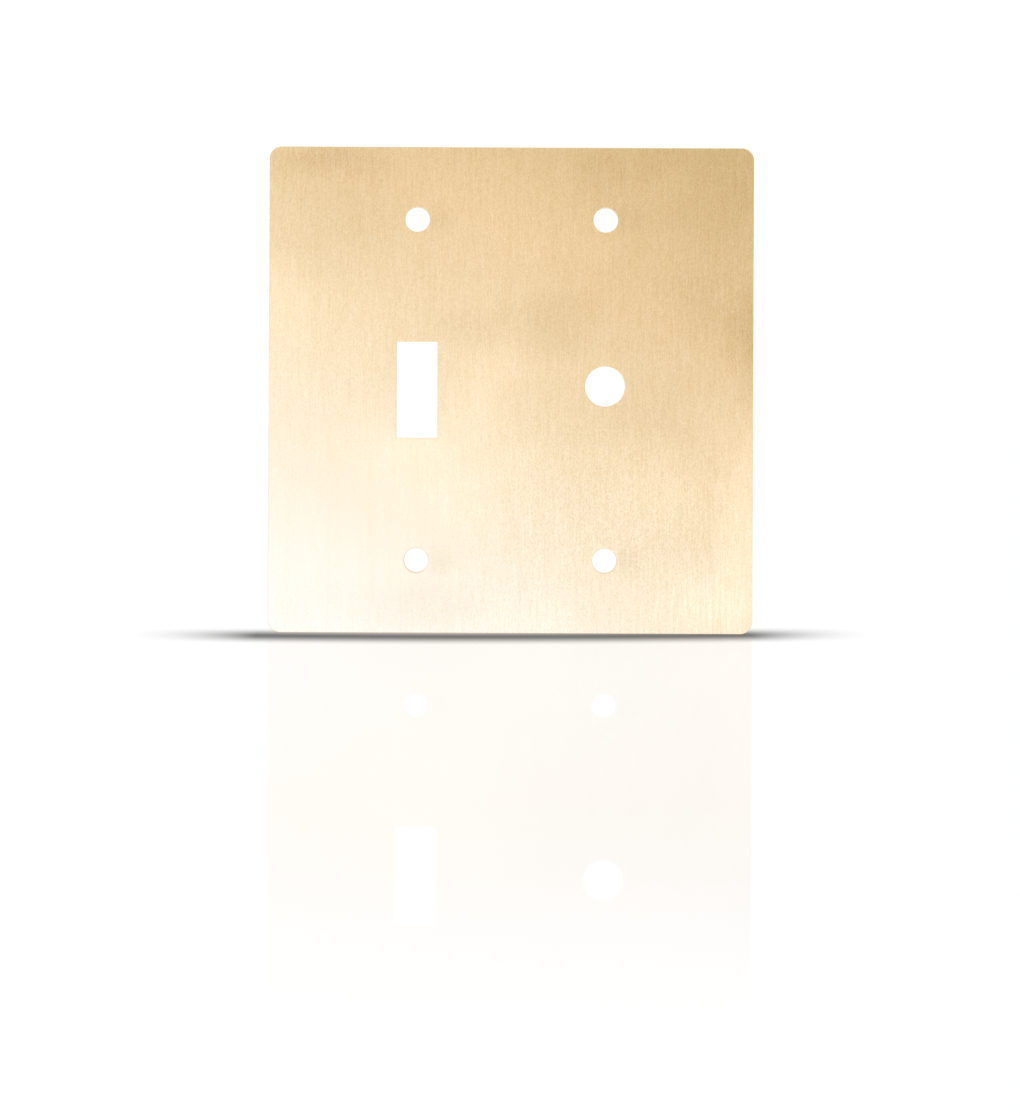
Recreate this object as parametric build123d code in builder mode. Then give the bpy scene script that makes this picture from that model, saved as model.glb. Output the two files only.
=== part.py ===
from build123d import *

import os

# Combination wall plate, two gangs wide, cut from one flat sheet of brass. The left gang has the
# upright slot for a toggle lever and the right gang a round opening. Each gang has a plain screw
# hole above and below its opening. Nothing else belongs to the plate, so it is a single solid.
#
# Frame: the back face lies on the XZ plane with the wall behind it, and the front faces -Y.
# +Z is up and +X is to the right as seen from the front. The origin is the middle of the back
# face. All sizes are in millimetres.

# Sheet
plate_width = 118.5
plate_height = 118.8
plate_thickness = 2.0
corner_radius = 3.0

# The grid that wall boxes and the switches in them are made to
gang_pitch = 46.04
screw_pitch = 83.34

# Openings
screw_hole_diameter = 6.0
toggle_slot_width = 10.0
toggle_slot_height = 23.5
toggle_slot_corner_radius = 0.2
round_opening_diameter = 9.8
round_opening_rise = 1.0  # its centre is this far above the middle of the plate

# Edges
front_edge_radius = 0.15  # the outline and the lip of each hole, softened by the brushing
back_edge_break = 0.15  # chamfer that takes the burr off the back


with BuildPart() as wall_plate:
    # The blank with the toggle slot in its left gang, grown from the wall towards the room
    with BuildSketch(Plane.XZ):
        RectangleRounded(plate_width, plate_height, corner_radius)
        with Locations((-gang_pitch / 2, 0)):
            RectangleRounded(
                toggle_slot_width,
                toggle_slot_height,
                toggle_slot_corner_radius,
                mode=Mode.SUBTRACT,
            )
    extrude(amount=plate_thickness)

    # The round holes, set out on the front face
    with Locations(Plane.XZ.offset(plate_thickness)):
        with GridLocations(gang_pitch, screw_pitch, 2, 2):
            Hole(radius=screw_hole_diameter / 2)
        with Locations((gang_pitch / 2, round_opening_rise)):
            Hole(radius=round_opening_diameter / 2)

    # Every edge of the back face is broken a little
    back_face = wall_plate.faces().sort_by(Axis.Y)[-1]
    chamfer(back_face.edges(), back_edge_break)

    # Every edge of the front face is rounded a little
    front_face = wall_plate.faces().sort_by(Axis.Y)[0]
    fillet(front_face.edges(), front_edge_radius)

wall_plate.part.label = "wall_plate"

os.makedirs("parts", exist_ok=True)
export_step(wall_plate.part, "parts/wall_plate.step")

print("wall_plate", round(wall_plate.part.volume), "mm3")
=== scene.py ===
from math import radians

import bmesh
import bpy
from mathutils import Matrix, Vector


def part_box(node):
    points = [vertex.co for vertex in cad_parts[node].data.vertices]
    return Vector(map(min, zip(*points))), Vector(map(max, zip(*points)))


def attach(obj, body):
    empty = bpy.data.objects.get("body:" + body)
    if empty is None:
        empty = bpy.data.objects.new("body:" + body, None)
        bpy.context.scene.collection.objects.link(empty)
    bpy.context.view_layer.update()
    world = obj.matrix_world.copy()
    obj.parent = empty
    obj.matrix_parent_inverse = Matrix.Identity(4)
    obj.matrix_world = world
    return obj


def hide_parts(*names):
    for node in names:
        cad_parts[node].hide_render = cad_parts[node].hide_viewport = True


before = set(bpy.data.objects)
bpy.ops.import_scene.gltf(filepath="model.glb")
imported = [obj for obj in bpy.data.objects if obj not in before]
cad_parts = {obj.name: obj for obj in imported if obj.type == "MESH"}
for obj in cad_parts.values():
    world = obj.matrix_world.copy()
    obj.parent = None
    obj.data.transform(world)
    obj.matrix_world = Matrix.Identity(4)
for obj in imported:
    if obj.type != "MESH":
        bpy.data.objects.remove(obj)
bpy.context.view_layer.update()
mm = 0.001


# Picking faces and edges in edit mode

def deselectAll():
    if bpy.context.object and bpy.context.object.mode == "EDIT":
        bpy.ops.object.mode_set(mode="OBJECT")
    bpy.ops.object.select_all(action="DESELECT")


def pickFaces(piece, test):
    bpy.ops.mesh.select_mode(type="FACE")
    bpy.ops.mesh.select_all(action="DESELECT")
    work = bmesh.from_edit_mesh(piece.data)
    for face in work.faces:
        face.select_set(test(face.calc_center_median(), face.normal))
    bmesh.update_edit_mesh(piece.data)


def pickEdges(piece, test):
    bpy.ops.mesh.select_mode(type="EDGE")
    bpy.ops.mesh.select_all(action="DESELECT")
    work = bmesh.from_edit_mesh(piece.data)
    for edge in work.edges:
        if test(edge, (edge.verts[0].co + edge.verts[1].co) / 2):
            edge.select_set(True)
    bmesh.update_edit_mesh(piece.data)


# The plate: cut out as a flat sheet at the front, then given its thickness and its edges

plate = {
    "name": "brassPlate",
    "cornerRadius": 3.0 * mm,
    "cornerSteps": 12,
    "gangX": 23.02 * mm,            # the middle of each gang, from the plate's middle
    "screwZ": 41.67 * mm,           # the screw holes, above and below the plate's middle
    "screwRadius": 3.0 * mm,
    "roundRadius": 4.9 * mm,
    "roundZ": 1.0 * mm,
    "stepsPerSide": 16,             # steps round each quarter of a hole
    "slotHalfWidth": 5.0 * mm,
    "slotHalfHeight": 11.75 * mm,
    "slotCorner": 0.2 * mm,
    "slotSteps": 4,
    "pad": 7.0 * mm,                # half the square of sheet that is kept round each hole
    "frontRadius": 0.15 * mm,       # every edge of the front
    "frontSteps": 4,
    "backBreak": 0.15 * mm,         # every edge of the back
    "backSteps": 2,
    "sharpAngle": 35,               # degrees, past which an edge is not shaded smooth
    "tiny": 0.02 * mm,
}
sheetLow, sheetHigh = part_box("wall_plate")
frontY = sheetLow.y
backY = sheetHigh.y
halfWidth = (sheetHigh.x - sheetLow.x) / 2
halfHeight = (sheetHigh.z - sheetLow.z) / 2


def inPad(middle, x, z, padX, padZ):
    return abs(middle.x - x) < padX and abs(middle.z - z) < padZ


def cutSheet(piece, atX=None, atZ=None, inside=None):
    # Splits the faces whose middles pass inside, along one upright or level line
    pickFaces(piece, lambda middle, normal: inside is None or inside(middle))
    place, direction = ((atX, 0, 0), (1, 0, 0)) if atX is not None else ((0, 0, atZ), (0, 0, 1))
    bpy.ops.mesh.bisect(plane_co=place, plane_no=direction)


def openPad(piece, x, z, padX, padZ, stepsPerSide):
    # Takes out the pad's face, divides its border and draws a second loop out of that border
    pickFaces(piece, lambda middle, normal: inPad(middle, x, z, padX, padZ))
    bpy.ops.mesh.delete(type="ONLY_FACE")

    def onBorder(edge, middle):
        awayX, awayZ = abs(middle.x - x), abs(middle.z - z)
        onSide = abs(awayX - padX) < plate["tiny"] and awayZ < padZ
        onEnd = abs(awayZ - padZ) < plate["tiny"] and awayX < padX
        return edge.is_boundary and (onSide or onEnd)

    pickEdges(piece, onBorder)
    if stepsPerSide > 1:
        bpy.ops.mesh.subdivide(number_cuts=stepsPerSide - 1)
        pickEdges(piece, onBorder)
    bpy.ops.mesh.extrude_edges_move()


def loopRadius(piece, x, z):
    # The mean radius of the selected loop of points about a hole's middle
    work = bmesh.from_edit_mesh(piece.data)
    picked = [point.co for point in work.verts if point.select]
    return sum(((co.x - x) ** 2 + (co.z - z) ** 2) ** 0.5 for co in picked) / len(picked)


def roundHole(piece, x, z, radius):
    openPad(piece, x, z, plate["pad"], plate["pad"], plate["stepsPerSide"])
    bpy.ops.transform.tosphere(value=1)
    shrink = radius / loopRadius(piece, x, z)
    bpy.ops.transform.resize(value=(shrink, 1, shrink), center_override=(x, frontY, z))


def toggleSlot(piece, x, z, padX, padZ):
    openPad(piece, x, z, padX, padZ, 1)
    shrink = (plate["slotHalfWidth"] / padX, 1, plate["slotHalfHeight"] / padZ)
    bpy.ops.transform.resize(value=shrink, center_override=(x, frontY, z))


def makePlate():
    deselectAll()
    bpy.ops.mesh.primitive_plane_add(size=2, location=(0, frontY, 0), rotation=(radians(90), 0, 0))
    piece = bpy.context.object
    piece.name = plate["name"]
    piece.data.name = plate["name"]
    piece.scale = (halfWidth, halfHeight, 1)
    bpy.ops.object.transform_apply(location=True, rotation=True, scale=True)
    bpy.ops.object.mode_set(mode="EDIT")

    # Outline with round corners
    bpy.ops.mesh.select_all(action="SELECT")
    bpy.ops.mesh.bevel(offset=plate["cornerRadius"], segments=plate["cornerSteps"], affect="VERTICES",
                       clamp_overlap=False)

    # A square of sheet for each hole and an upright one for the slot
    gangX, screwZ, pad = plate["gangX"], plate["screwZ"], plate["pad"]
    slotPadZ = plate["slotHalfHeight"] + pad - plate["slotHalfWidth"]
    for x in (-gangX - pad, -gangX + pad, gangX - pad, gangX + pad):
        cutSheet(piece, atX=x)
    for z in (-screwZ - pad, -screwZ + pad, screwZ - pad, screwZ + pad):
        cutSheet(piece, atZ=z)
    for z in (-slotPadZ, slotPadZ):
        cutSheet(piece, atZ=z, inside=lambda middle: inPad(middle, -gangX, 0, pad, screwZ - pad))
    for z in (plate["roundZ"] - pad, plate["roundZ"] + pad):
        cutSheet(piece, atZ=z, inside=lambda middle: inPad(middle, gangX, 0, pad, screwZ - pad))

    # The holes
    for x in (-gangX, gangX):
        for z in (-screwZ, screwZ):
            roundHole(piece, x, z, plate["screwRadius"])
    roundHole(piece, gangX, plate["roundZ"], plate["roundRadius"])
    toggleSlot(piece, -gangX, 0, pad, slotPadZ)

    # Thickness
    bpy.ops.mesh.select_all(action="SELECT")
    bpy.ops.mesh.remove_doubles(threshold=plate["tiny"] / 10)
    bpy.ops.mesh.extrude_region_move(TRANSFORM_OT_translate={"value": (0, backY - frontY, 0)})
    bpy.ops.mesh.select_all(action="SELECT")
    bpy.ops.mesh.normals_make_consistent(inside=False)

    # The slot's four corners, which run through the sheet
    def slotCorner(edge, middle):
        along = edge.verts[0].co - edge.verts[1].co
        return (abs(along.y) > (backY - frontY) / 2
                and abs(abs(middle.x + gangX) - plate["slotHalfWidth"]) < plate["tiny"]
                and abs(abs(middle.z) - plate["slotHalfHeight"]) < plate["tiny"])

    pickEdges(piece, slotCorner)
    bpy.ops.mesh.bevel(offset=plate["slotCorner"], segments=plate["slotSteps"], affect="EDGES")

    # The edges of the front are rounded and those of the back are broken
    def turnsAt(edge, middle, y):
        if abs(middle.y - y) > plate["tiny"] or len(edge.link_faces) != 2:
            return False
        return abs(edge.link_faces[0].normal.y - edge.link_faces[1].normal.y) > 0.5

    pickEdges(piece, lambda edge, middle: turnsAt(edge, middle, frontY))
    bpy.ops.mesh.bevel(offset=plate["frontRadius"], segments=plate["frontSteps"], affect="EDGES")
    pickEdges(piece, lambda edge, middle: turnsAt(edge, middle, backY))
    bpy.ops.mesh.bevel(offset=plate["backBreak"], segments=plate["backSteps"], affect="EDGES")
    bpy.ops.object.mode_set(mode="OBJECT")
    return piece


brassPlate = makePlate()
print("plate", len(brassPlate.data.vertices), "points", len(brassPlate.data.polygons), "faces")


# Materials. Every pattern is read from the object's own coordinates, in metres.

noiseLow, noiseHigh = 0.3, 0.7      # nearly all of a noise texture lies between these


def newMaterial(name):
    material = bpy.data.materials.new(name)
    material.use_nodes = True
    tree = material.node_tree
    tree.nodes.clear()
    return material, tree


def addNode(tree, kind, values=None, **settings):
    # values are the sockets' own numbers, and a socket given as a value is linked
    node = tree.nodes.new(kind)
    for key, value in settings.items():
        setattr(node, key, value)
    for key, value in (values or {}).items():
        if isinstance(value, bpy.types.NodeSocket):
            tree.links.new(value, node.inputs[key])
        else:
            node.inputs[key].default_value = value
    return node


def addSurface(tree, shader):
    addNode(tree, "ShaderNodeOutputMaterial", {"Surface": shader.outputs[0]})


def objectPlace(tree):
    return addNode(tree, "ShaderNodeTexCoord").outputs["Object"]


def streaks(tree, place, across, along, detail=3.0, shift=0.0):
    # Noise drawn out along Z: across and along are the streaks' width and length in metres
    stretched = addNode(tree, "ShaderNodeMapping",
                        {"Vector": place, "Location": (shift, shift, shift),
                         "Scale": (1 / across, 1 / across, 1 / along)})
    noise = addNode(tree, "ShaderNodeTexNoise",
                    {"Vector": stretched.outputs[0], "Scale": 1.0, "Detail": detail, "Roughness": 0.6})
    return noise.outputs["Fac"]


def clouds(tree, place, size, detail=2.0, shift=0.0):
    return streaks(tree, place, size, size, detail, shift)


def remap(tree, value, fromLow, fromHigh, toLow, toHigh, smooth=False):
    limits = {"From Min": fromLow, "From Max": fromHigh, "To Min": toLow, "To Max": toHigh}
    return addNode(tree, "ShaderNodeMapRange", {"Value": value, **limits},
                   interpolation_type="SMOOTHSTEP" if smooth else "LINEAR").outputs[0]


def spread(tree, noise, toLow, toHigh):
    return remap(tree, noise, noiseLow, noiseHigh, toLow, toHigh)


def calc(tree, operation, first, second=0.0, third=0.0):
    node = addNode(tree, "ShaderNodeMath", {0: first, 1: second, 2: third}, operation=operation)
    return node.outputs[0]


def vectorCalc(tree, operation, first, second, third=(0, 0, 0)):
    node = addNode(tree, "ShaderNodeVectorMath", {0: first, 1: second, 2: third}, operation=operation)
    return node.outputs["Vector"]


def vectorLength(tree, vector):
    return addNode(tree, "ShaderNodeVectorMath", {0: vector}, operation="LENGTH").outputs["Value"]


def blendColours(tree, share, first, second):
    node = addNode(tree, "ShaderNodeMix", {"Factor": share, 6: first, 7: second}, data_type="RGBA")
    return node.outputs[2]


def spot(tree, place, middle, size):
    # 1 at the middle of a soft round area of that size, 0 outside it
    moved = vectorCalc(tree, "SUBTRACT", place, middle)
    scaled = vectorCalc(tree, "MULTIPLY", moved, (1 / size[0], 0, 1 / size[1]))
    return remap(tree, vectorLength(tree, scaled), 1.0, 0.0, 0.0, 1.0, smooth=True)


def addMark(tree, total, place, x, z, halfX, halfZ, tone):
    return calc(tree, "MULTIPLY_ADD", spot(tree, place, (x, frontY, z), (halfX, halfZ)), tone, total)


# The front: brushed from top to bottom, with soft patches that are partly smudges and partly painted light
# and shade, and a few painted glints along the hairlines

brushed = {
    "brass": (0.89, 0.70, 0.44),
    "hairAcross": 0.27 * mm,        # the brush's hairlines
    "hairAlong": 5.0 * mm,
    "speckAcross": 0.27 * mm,       # and the short specks between them
    "speckAlong": 0.46 * mm,
    "hairShare": 0.38,              # of the grain, and the specks are the rest
    "bandAcross": 1.3 * mm,         # wider, weaker streaks under the grain
    "bandAlong": 20 * mm,
    "bandShare": 0.12,
    "grainTint": (0.088, 0.122, 0.22),      # how far the grain swings red, green and blue
    "roughness": 0.34,
    "roughnessSwing": 0.05,
    "anisotropy": 0.6,
    "grainDepth": 0.012 * mm,
    "grainRelief": 0.6,
    "patchTint": (0.060, 0.070, 0.100),
    "smoke": 15 * mm,               # the size of the noise that the patches' outlines follow
    "wander": 9 * mm,               # and how far they stray with it
    # Soft patches, partly smudges from handling and partly painted light and shade: x, z, half width, half
    # height, and how dark (below 0) or light
    "tonePatches": (
        (-47 * mm, 56 * mm, 27 * mm, 9 * mm, -1.7),
        (-46 * mm, 42 * mm, 34 * mm, 24 * mm, -0.8),
        (-1 * mm, 40 * mm, 34 * mm, 26 * mm, 0.8),
        (22 * mm, 37 * mm, 12 * mm, 8 * mm, 0.6),
        (60 * mm, 13 * mm, 9 * mm, 20 * mm, -2.5),
        (48 * mm, 20 * mm, 20 * mm, 16 * mm, -0.9),
        (50 * mm, -8 * mm, 13 * mm, 11 * mm, 0.8),
        (11 * mm, 17 * mm, 13 * mm, 14 * mm, -0.9),
        (-8 * mm, 15 * mm, 24 * mm, 10 * mm, -0.5),
        (-1 * mm, 7 * mm, 14 * mm, 12 * mm, 0.8),
        (-7 * mm, -1 * mm, 13 * mm, 13 * mm, 0.7),
        (-28 * mm, -13 * mm, 20 * mm, 8 * mm, 0.7),
        (-15 * mm, -19 * mm, 32 * mm, 25 * mm, 1.0),
        (-58 * mm, 24 * mm, 14 * mm, 34 * mm, 0.6),
        (-46 * mm, -54 * mm, 30 * mm, 14 * mm, -0.4),
        (34 * mm, -7 * mm, 38 * mm, 14 * mm, -0.6),
        (37 * mm, -24 * mm, 20 * mm, 17 * mm, 0.7),
        (59 * mm, -28 * mm, 12 * mm, 44 * mm, 2.0),
        (36 * mm, 57 * mm, 34 * mm, 9 * mm, -0.7),
        (56 * mm, 50 * mm, 24 * mm, 26 * mm, -1.3),
        (22 * mm, 52 * mm, 11 * mm, 10 * mm, -0.7),
        (-22 * mm, -53 * mm, 24 * mm, 10 * mm, -0.8),
        (50 * mm, -52 * mm, 16 * mm, 12 * mm, 0.8),
    ),
    "holeSpot": 5.5 * mm,             # the faint dark mark beside each screw hole
    "holeSpotAside": 5.8 * mm,
    "holeSpotTone": -1.0,
    # Where single hairlines catch the light: x, z, half width, half height, and how much
    "flares": (
        (47 * mm, -52 * mm, 20 * mm, 17 * mm, 2.0),
        (6 * mm, -56 * mm, 17 * mm, 11 * mm, 1.2),
    ),
    "flareAcross": 0.45 * mm,
    "flareAlong": 12 * mm,
    "flareFrom": 0.42,              # the noise that a hairline has to pass to catch it
    "flareFull": 0.68,
    # Where the grain is stronger (above 0) or fainter: x, z, half width, half height, and how much
    "grainGain": (
        (28 * mm, -30 * mm, 60 * mm, 34 * mm, 0.35),
        (-40 * mm, -36 * mm, 50 * mm, 40 * mm, -0.6),
    ),
}


def strayed(tree, place):
    # The same place moved a little by slow noise, so that a soft spot gets a smoky outline
    reach = 2 * brushed["wander"]
    noise = addNode(tree, "ShaderNodeTexNoise", {"Vector": place, "Scale": 1 / brushed["smoke"],
                                                 "Detail": 4.0})
    centred = vectorCalc(tree, "SUBTRACT", noise.outputs["Color"], (0.5, 0.5, 0.5))
    return vectorCalc(tree, "MULTIPLY_ADD", centred, (reach, reach, reach), place)


def patchesAndGlints(tree, place):
    # The sum of all the soft patches, each with its own tone, partly smudges and partly painted light and
    # shade, and the painted glints
    total = 0.0
    smoky = strayed(tree, place)
    for x, z, halfX, halfZ, tone in brushed["tonePatches"]:
        total = addMark(tree, total, smoky, x, z, halfX, halfZ, tone)
    for x in (-plate["gangX"], plate["gangX"]):
        for z in (-plate["screwZ"], plate["screwZ"]):
            total = addMark(tree, total, place, x + brushed["holeSpotAside"], z, brushed["holeSpot"],
                            brushed["holeSpot"], brushed["holeSpotTone"])
    # Painted glints: single hairlines made brighter in the listed spots
    flare = 0.0
    for x, z, halfX, halfZ, tone in brushed["flares"]:
        flare = addMark(tree, flare, place, x, z, halfX, halfZ, tone)
    hairlines = streaks(tree, place, brushed["flareAcross"], brushed["flareAlong"], shift=5.0)
    lit = remap(tree, hairlines, brushed["flareFrom"], brushed["flareFull"], 0.0, 1.0)
    return calc(tree, "MULTIPLY_ADD", flare, lit, total)


def brushedFront():
    material, tree = newMaterial("brushedFront")
    place = objectPlace(tree)
    hairs = streaks(tree, place, brushed["hairAcross"], brushed["hairAlong"], detail=2.0)
    specks = streaks(tree, place, brushed["speckAcross"], brushed["speckAlong"], detail=1.0, shift=2.0)
    bands = streaks(tree, place, brushed["bandAcross"], brushed["bandAlong"], shift=3.0)
    speckPart = calc(tree, "MULTIPLY", specks, 1 - brushed["hairShare"])
    grain = calc(tree, "MULTIPLY_ADD", hairs, brushed["hairShare"], speckPart)
    gain = 1.0
    for x, z, halfX, halfZ, tone in brushed["grainGain"]:
        gain = addMark(tree, gain, place, x, z, halfX, halfZ, tone)
    grainTone = calc(tree, "MULTIPLY", spread(tree, grain, -1.0, 1.0), gain)
    bandTone = spread(tree, bands, -brushed["bandShare"], brushed["bandShare"])
    lineTone = calc(tree, "ADD", grainTone, bandTone)
    factor = vectorCalc(tree, "MULTIPLY_ADD", lineTone, brushed["grainTint"], (1, 1, 1))
    # Painted light and shade: the patches and the glints darken or lighten the brass colour itself
    factor = vectorCalc(tree, "MULTIPLY_ADD", patchesAndGlints(tree, place), brushed["patchTint"], factor)
    colour = vectorCalc(tree, "MULTIPLY", factor, brushed["brass"])
    rough = spread(tree, grain, brushed["roughness"] - brushed["roughnessSwing"],
                   brushed["roughness"] + brushed["roughnessSwing"])
    relief = addNode(tree, "ShaderNodeBump", {"Height": hairs, "Distance": brushed["grainDepth"],
                                              "Strength": brushed["grainRelief"]})
    along = addNode(tree, "ShaderNodeTangent", direction_type="UV_MAP", uv_map="plateMap")
    addSurface(tree, addNode(tree, "ShaderNodeBsdfPrincipled",
                             {"Base Color": colour, "Metallic": 1.0, "Roughness": rough,
                              "Anisotropic": brushed["anisotropy"], "Normal": relief.outputs[0],
                              "Tangent": along.outputs[0]}))
    return material


# The back: plain rolled sheet, drawn in level lines and a little tarnished

rolled = {
    "clean": (0.80, 0.61, 0.36, 1),
    "tarnished": (0.62, 0.44, 0.25, 1),
    "tarnish": 18 * mm,             # the size of the clouds of tarnish
    "tarnishMost": 0.32,
    "lineAcross": 0.6 * mm,
    "lineAlong": 60 * mm,
    "fineAcross": 0.25 * mm,
    "fineAlong": 9 * mm,
    "fineShare": 0.6,               # of the drawn lines, and the long lines are the rest
    "shade": (0.88, 1.08),
    "roughness": (0.36, 0.52),      # clean and tarnished
    "lineDepth": 0.01 * mm,
    "lineRelief": 0.5,
}


def rolledBack():
    material, tree = newMaterial("rolledBack")
    place = objectPlace(tree)
    turned = addNode(tree, "ShaderNodeMapping", {"Vector": place, "Rotation": (0, radians(90), 0)})
    level = turned.outputs[0]
    lines = streaks(tree, level, rolled["lineAcross"], rolled["lineAlong"], shift=11.0)
    fine = streaks(tree, level, rolled["fineAcross"], rolled["fineAlong"], shift=13.0)
    linePart = calc(tree, "MULTIPLY", lines, 1 - rolled["fineShare"])
    drawn = calc(tree, "MULTIPLY_ADD", fine, rolled["fineShare"], linePart)
    tarnish = clouds(tree, place, rolled["tarnish"], detail=4.0, shift=5.0)
    dull = remap(tree, tarnish, 0.40, 0.75, 0.0, rolled["tarnishMost"], smooth=True)
    colour = blendColours(tree, dull, rolled["clean"], rolled["tarnished"])
    shaded = vectorCalc(tree, "MULTIPLY", colour, spread(tree, drawn, *rolled["shade"]))
    relief = addNode(tree, "ShaderNodeBump", {"Height": drawn, "Distance": rolled["lineDepth"],
                                              "Strength": rolled["lineRelief"]})
    addSurface(tree, addNode(tree, "ShaderNodeBsdfPrincipled",
                             {"Base Color": shaded, "Metallic": 1.0,
                              "Roughness": spread(tree, tarnish, *rolled["roughness"]),
                              "Normal": relief.outputs[0]}))
    return material


# The punched walls: bright where the tool slid through the front part, torn and dull behind it

punched = {
    "slid": (0.90, 0.72, 0.45, 1),
    "torn": (0.74, 0.56, 0.33, 1),
    "tornFrom": 0.85 * mm,          # from the front face
    "tornFull": 1.1 * mm,
    "ragged": 0.8 * mm,             # the size and height of the line's waves between the two
    "raggedHeight": 0.5 * mm,
    "grit": 0.12 * mm,
    "gritDepth": 0.03 * mm,
    "gritRelief": 0.8,
    "roughness": (0.22, 0.5),       # slid and torn
}


def cutEdge():
    material, tree = newMaterial("cutEdge")
    place = objectPlace(tree)
    depth = addNode(tree, "ShaderNodeSeparateXYZ", {"Vector": place}).outputs["Y"]
    ragged = clouds(tree, place, punched["ragged"], detail=3.0)
    wavy = calc(tree, "MULTIPLY_ADD", ragged, punched["raggedHeight"], depth)
    torn = remap(tree, wavy, frontY + punched["tornFrom"], frontY + punched["tornFull"], 0.0, 1.0,
                 smooth=True)
    grit = clouds(tree, place, punched["grit"], detail=4.0)
    bump = addNode(tree, "ShaderNodeBump", {"Height": calc(tree, "MULTIPLY", grit, torn),
                                            "Distance": punched["gritDepth"],
                                            "Strength": punched["gritRelief"]})
    addSurface(tree, addNode(tree, "ShaderNodeBsdfPrincipled",
                             {"Base Color": blendColours(tree, torn, punched["slid"], punched["torn"]),
                              "Metallic": 1.0,
                              "Roughness": remap(tree, torn, 0.0, 1.0, *punched["roughness"]),
                              "Normal": bump.outputs[0]}))
    return material


def finishPlate(piece):
    deselectAll()
    piece.select_set(True)
    bpy.context.view_layer.objects.active = piece
    for material in (brushedFront(), rolledBack(), cutEdge()):
        piece.data.materials.append(material)
    bpy.ops.object.mode_set(mode="EDIT")
    bpy.ops.mesh.select_all(action="SELECT")
    bpy.ops.uv.cube_project(cube_size=1.0)

    # The front finish everywhere, then the back over it, then the walls from just behind the front
    level = 0.9                     # the share of a normal along Y that makes a face a level one
    wallY = frontY + 0.6 * plate["frontRadius"]
    tests = (lambda middle, normal: True,
             lambda middle, normal: normal.y > level,
             lambda middle, normal: middle.y > wallY and abs(normal.y) < level)
    for index, test in enumerate(tests):
        pickFaces(piece, test)
        piece.active_material_index = index
        bpy.ops.object.material_slot_assign()
    bpy.ops.object.mode_set(mode="OBJECT")
    piece.data.uv_layers[0].name = "plateMap"
    bpy.ops.object.shade_smooth_by_angle(angle=radians(plate["sharpAngle"]))
    bpy.ops.object.modifier_add(type="WEIGHTED_NORMAL")
    piece.modifiers[-1].keep_sharp = True
    bpy.ops.object.modifier_apply(modifier=piece.modifiers[-1].name)


finishPlate(brassPlate)
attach(brassPlate, "root")
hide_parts("wall_plate")
print("finishes", [material.name for material in brassPlate.data.materials])


# Light: an even white room, and a soft panel close in front that shows in the brass alone

light = {
    "room": 1.05,
    "panelAway": 200 * mm,
    "panelHalfX": 210 * mm,         # at these reaches it has eased to the room's own white
    "panelHalfZ": 185 * mm,
    "easeFrom": 0.65,               # and it starts to ease at this share of them
    "level": 0.10,                  # natural log of the panel's strength at its middle
    "risePerMetreX": -4.75,         # how that log climbs to the right
    "risePerMetreZ": -8.1,          # and upwards
    "least": 0.4,
    "most": 3.2,
    # Blue, red and green strengths, from dim and warm to bright and cool
    "shades": (
        (0.40, 0.68, 0.60),
        (0.58, 0.84, 0.74),
        (0.80, 0.985, 0.89),
        (1.08, 1.12, 1.11),
        (1.50, 1.22, 1.32),
        (3.20, 1.40, 1.86),
    ),
}


def makeRoom():
    world = bpy.data.worlds.new("whiteRoom")
    bpy.context.scene.world = world
    world.use_nodes = True
    back = world.node_tree.nodes["Background"]
    back.inputs["Color"].default_value = (1, 1, 1, 1)
    back.inputs["Strength"].default_value = light["room"]


def panelShades(tree, share):
    # A colour ramp over the panel's blue strength, where 1 stands for the most
    ramp = addNode(tree, "ShaderNodeValToRGB", {"Fac": share})
    band = ramp.color_ramp
    while len(band.elements) < len(light["shades"]):
        band.elements.new(0.5)
    for stop, (blue, red, green) in zip(band.elements, light["shades"]):
        stop.position = (blue - light["least"]) / (light["most"] - light["least"])
        stop.color = (red / light["most"], green / light["most"], blue / light["most"], 1)
    return ramp.outputs["Color"]


def makePanel():
    # Warm where it is dim, at the upper right, and cool where it is bright, at the lower left
    deselectAll()
    bpy.ops.mesh.primitive_plane_add(size=2 * light["panelHalfX"], location=(0, 0, 0),
                                     rotation=(radians(-90), 0, 0))
    panel = bpy.context.object
    panel.name = "softPanel"
    bpy.ops.transform.translate(value=(0, frontY - light["panelAway"], 0))
    bpy.ops.object.transform_apply(location=True, rotation=True, scale=True)
    material, tree = newMaterial("softPanel")
    place = objectPlace(tree)
    apart = addNode(tree, "ShaderNodeSeparateXYZ", {"Vector": place})
    level = calc(tree, "MULTIPLY_ADD", apart.outputs["X"], light["risePerMetreX"], light["level"])
    climb = calc(tree, "MULTIPLY", apart.outputs["Z"], light["risePerMetreZ"])
    strength = calc(tree, "EXPONENT", calc(tree, "ADD", level, climb))
    shade = panelShades(tree, remap(tree, strength, light["least"], light["most"], 0.0, 1.0))
    scaled = vectorCalc(tree, "MULTIPLY", place, (1 / light["panelHalfX"], 0, 1 / light["panelHalfZ"]))
    ease = remap(tree, vectorLength(tree, scaled), light["easeFrom"], 1.0, 0.0, 1.0, smooth=True)
    plain = light["room"] / light["most"]
    colour = blendColours(tree, ease, shade, (plain, plain, plain, 1))
    glow = addNode(tree, "ShaderNodeEmission", {"Color": colour, "Strength": light["most"]})
    clear = addNode(tree, "ShaderNodeBsdfTransparent")
    behind = addNode(tree, "ShaderNodeNewGeometry").outputs["Backfacing"]
    addSurface(tree, addNode(tree, "ShaderNodeMixShader",
                             {0: behind, 1: glow.outputs[0], 2: clear.outputs[0]}))
    panel.data.materials.append(material)
    panel.visible_camera = False
    panel.visible_diffuse = False
    panel.visible_shadow = False


makeRoom()
makePanel()
print("room and panel set")


# The table: white, faintly glossy near the plate, with a painted shadow, a soft dark pool, that the plate
# stands in

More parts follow.
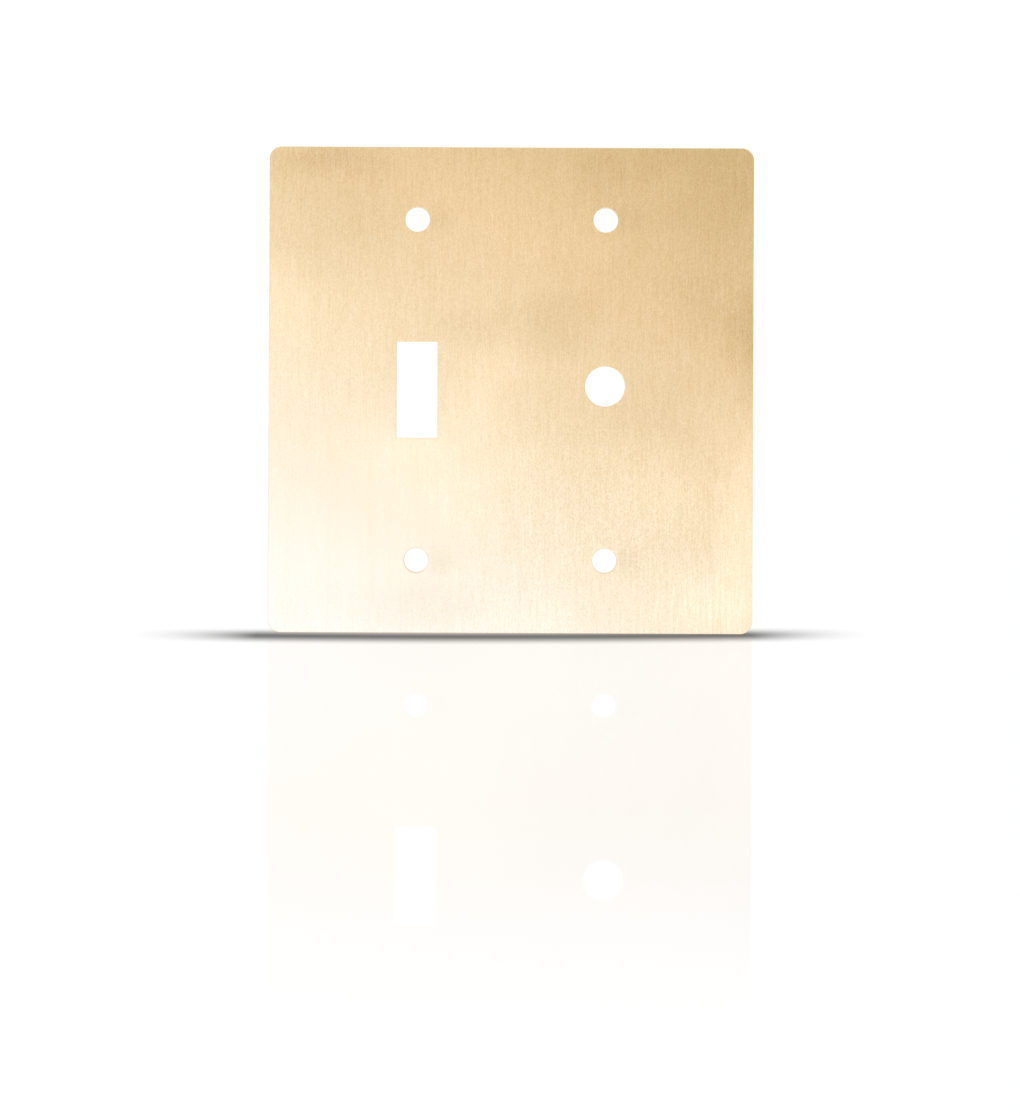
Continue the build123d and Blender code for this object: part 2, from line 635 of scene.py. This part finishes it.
table = {
    "half": 3.0,
    "white": 0.97,
    "gloss": 0.2,
    "glossRoughness": 0.03,
    "glow": 0.85,            # the share of its white that comes from a lamp beneath
    "glossNear": 0.24,       # the reflection is even this far in front of the plate
    "glossFar": 0.40,        # and has gone by here
    # The painted shadow: where it lies, how it turns, how far it reaches and how dark it is
    "poolX": -1.4 * mm,
    "poolY": -5.2 * mm,      # from the plate's front face
    "poolTurn": 3.0,         # degrees
    "poolFlat": 60 * mm,     # to each side it is as dark as in the middle this far
    "poolEnd": 95 * mm,
    "poolDepth": 20 * mm,    # and it has gone this far in front and behind
    "poolBow": 3.5 * mm,     # its middle bulges this far forwards
    "paintedShadowDark": 0.80,
}


# Painted shadow: how far the table's white is darkened in a soft pool round the plate's foot
def paintedShadowDarkness(tree, place):
    pool = addNode(tree, "ShaderNodeMapping",
                   {"Vector": place, "Location": (table["poolX"], frontY + table["poolY"], 0),
                    "Rotation": (0, 0, radians(table["poolTurn"]))}, vector_type="TEXTURE")
    apart = addNode(tree, "ShaderNodeSeparateXYZ", {"Vector": pool.outputs[0]})
    beside, ahead = apart.outputs["X"], apart.outputs["Y"]
    sideways = remap(tree, calc(tree, "ABSOLUTE", beside), table["poolFlat"], table["poolEnd"], 1.0, 0.0)
    bow = calc(tree, "MULTIPLY", calc(tree, "MULTIPLY", beside, beside),
               -table["poolBow"] / table["poolFlat"] ** 2)
    bulged = calc(tree, "ADD", calc(tree, "ADD", ahead, bow), table["poolBow"])
    depth = remap(tree, calc(tree, "ABSOLUTE", bulged), 0.0, table["poolDepth"], 1.0, 0.0, smooth=True)
    return calc(tree, "MULTIPLY", calc(tree, "MULTIPLY", sideways, sideways),
                calc(tree, "MULTIPLY", depth, table["paintedShadowDark"]))


def makeTable():
    deselectAll()
    bpy.ops.mesh.primitive_plane_add(size=2 * table["half"], location=(0, 0, -halfHeight))
    top = bpy.context.object
    top.name = "whiteTable"
    material, tree = newMaterial("whiteGloss")
    place = objectPlace(tree)
    # The painted shadow darkens the table's matt white, its glow and its gloss alike
    bright = calc(tree, "MULTIPLY", calc(tree, "SUBTRACT", 1.0, paintedShadowDarkness(tree, place)), table["white"])
    paint = addNode(tree, "ShaderNodeCombineColor", {"Red": bright, "Green": bright, "Blue": bright})
    ahead = addNode(tree, "ShaderNodeSeparateXYZ", {"Vector": place}).outputs["Y"]
    gloss = remap(tree, ahead, -table["glossFar"], -table["glossNear"], 0.0, table["gloss"], smooth=True)
    lit = addNode(tree, "ShaderNodeBsdfDiffuse", {"Color": paint.outputs[0]})
    glow = addNode(tree, "ShaderNodeEmission", {"Color": paint.outputs[0], "Strength": light["room"]})
    matt = addNode(tree, "ShaderNodeMixShader", {0: table["glow"], 1: lit.outputs[0], 2: glow.outputs[0]})
    shine = addNode(tree, "ShaderNodeBsdfGlossy", {"Color": paint.outputs[0],
                                                   "Roughness": table["glossRoughness"]})
    addSurface(tree, addNode(tree, "ShaderNodeMixShader",
                             {0: gloss, 1: matt.outputs[0], 2: shine.outputs[0]}))
    top.data.materials.append(material)
    top.visible_glossy = False      # the brass shows the panel, not the painted shadow on the table


makeTable()
print("table set")


# Camera: level, square to the plate and at the height of its middle

camera = {
    "away": 0.6,
    "x": -0.23 * mm,
    "frameHeight": 272.6 * mm,      # what the frame's height takes in at the plate
    "shiftY": -0.150,               # the plate stands high in the frame
    "roll": -0.25,                  # degrees
}


def makeCamera():
    data = bpy.data.cameras.new("frontCamera")
    data.sensor_width = 36
    data.lens = data.sensor_width * camera["away"] / camera["frameHeight"]
    data.shift_y = camera["shiftY"]
    data.clip_start = 0.01
    data.clip_end = 20
    eye = bpy.data.objects.new("frontCamera", data)
    bpy.context.scene.collection.objects.link(eye)
    eye.location = (camera["x"], frontY - camera["away"], 0)
    eye.rotation_euler = (radians(90), radians(camera["roll"]), 0)
    bpy.context.scene.camera = eye


makeCamera()
bpy.context.scene.view_settings.view_transform = "Standard"
print("camera set")
